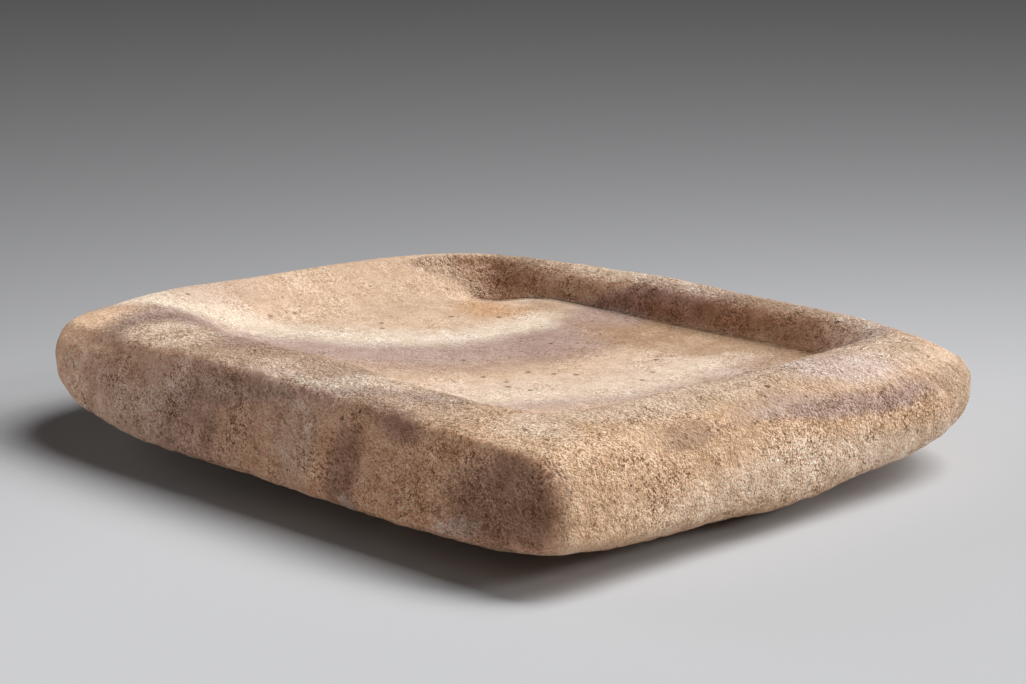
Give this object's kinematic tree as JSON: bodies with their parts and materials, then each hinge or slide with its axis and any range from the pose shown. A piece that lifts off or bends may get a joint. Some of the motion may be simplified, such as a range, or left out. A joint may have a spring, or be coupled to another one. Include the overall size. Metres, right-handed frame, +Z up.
{
  "type": "grinding plate",
  "caption": "Oblong stone grinding plate with a dished grinding face inside a raised rim and a pillow-shaped underside.",
  "frame": {"origin": "on the flat that the slab rests on, under the middle of its plan", "axes": "+X along the slab's long side, +Y along its short side towards the narrow rim, +Z up out of the grinding face"},
  "size_m": [0.3763, 0.3054, 0.0594],
  "materials": {
    "stone": "pecked coarse sandstone, worn smoother on the grinding face"
  },
  "bodies": {
    "root": {"stone_plate": "stone"}
  },
  "joints": []
}
